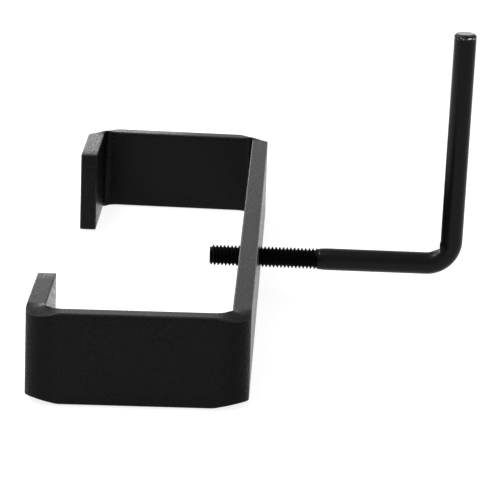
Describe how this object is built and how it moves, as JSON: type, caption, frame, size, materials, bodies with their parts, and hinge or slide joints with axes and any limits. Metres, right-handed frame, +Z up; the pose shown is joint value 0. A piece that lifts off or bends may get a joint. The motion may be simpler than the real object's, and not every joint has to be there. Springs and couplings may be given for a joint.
{
  "type": "clamp-on headphone hook",
  "caption": "Flat bar bent into a C that slips round an upright, clamped by a threaded rod whose outer end is bent up into a headphone hook.",
  "frame": {"origin": "middle of the footprint box, at the lower edge of the bar; the screw axis is in the XZ plane, half a bar width up", "axes": "+X along the screw, from the bracket towards the hook; +Y along the back plate; +Z up, along the hook arm and across the bar's width"},
  "size_m": [0.1546, 0.2834, 0.1055],
  "materials": {
    "bracket_coat": "black powder coat, fine texture, satin",
    "rod_coat": "black coat, smooth satin gloss, worn at the cut end",
    "core_steel": "plain steel, never seen"
  },
  "bodies": {
    "bracket": {"bracket": "bracket_coat"},
    "screw_travel": {"screw_core": "core_steel"},
    "hook": {"hook_rod": "rod_coat"}
  },
  "joints": [
    {"name": "screw_advance", "type": "slide", "parent": "bracket", "child": "screw_travel", "axis": [1, 0, 0], "range_m": [-0.0235, 0.0125]},
    {"name": "hook_turn", "type": "hinge", "parent": "screw_travel", "child": "hook", "pos_m": [-0.0011, 0, 0.01595], "axis": [1, 0, 0], "range_deg": [-5670, 2880]}
  ],
  "couplings": [
    {"joint": "screw_advance", "follows": "hook_turn", "m_per_rad": 0.00022457}
  ]
}
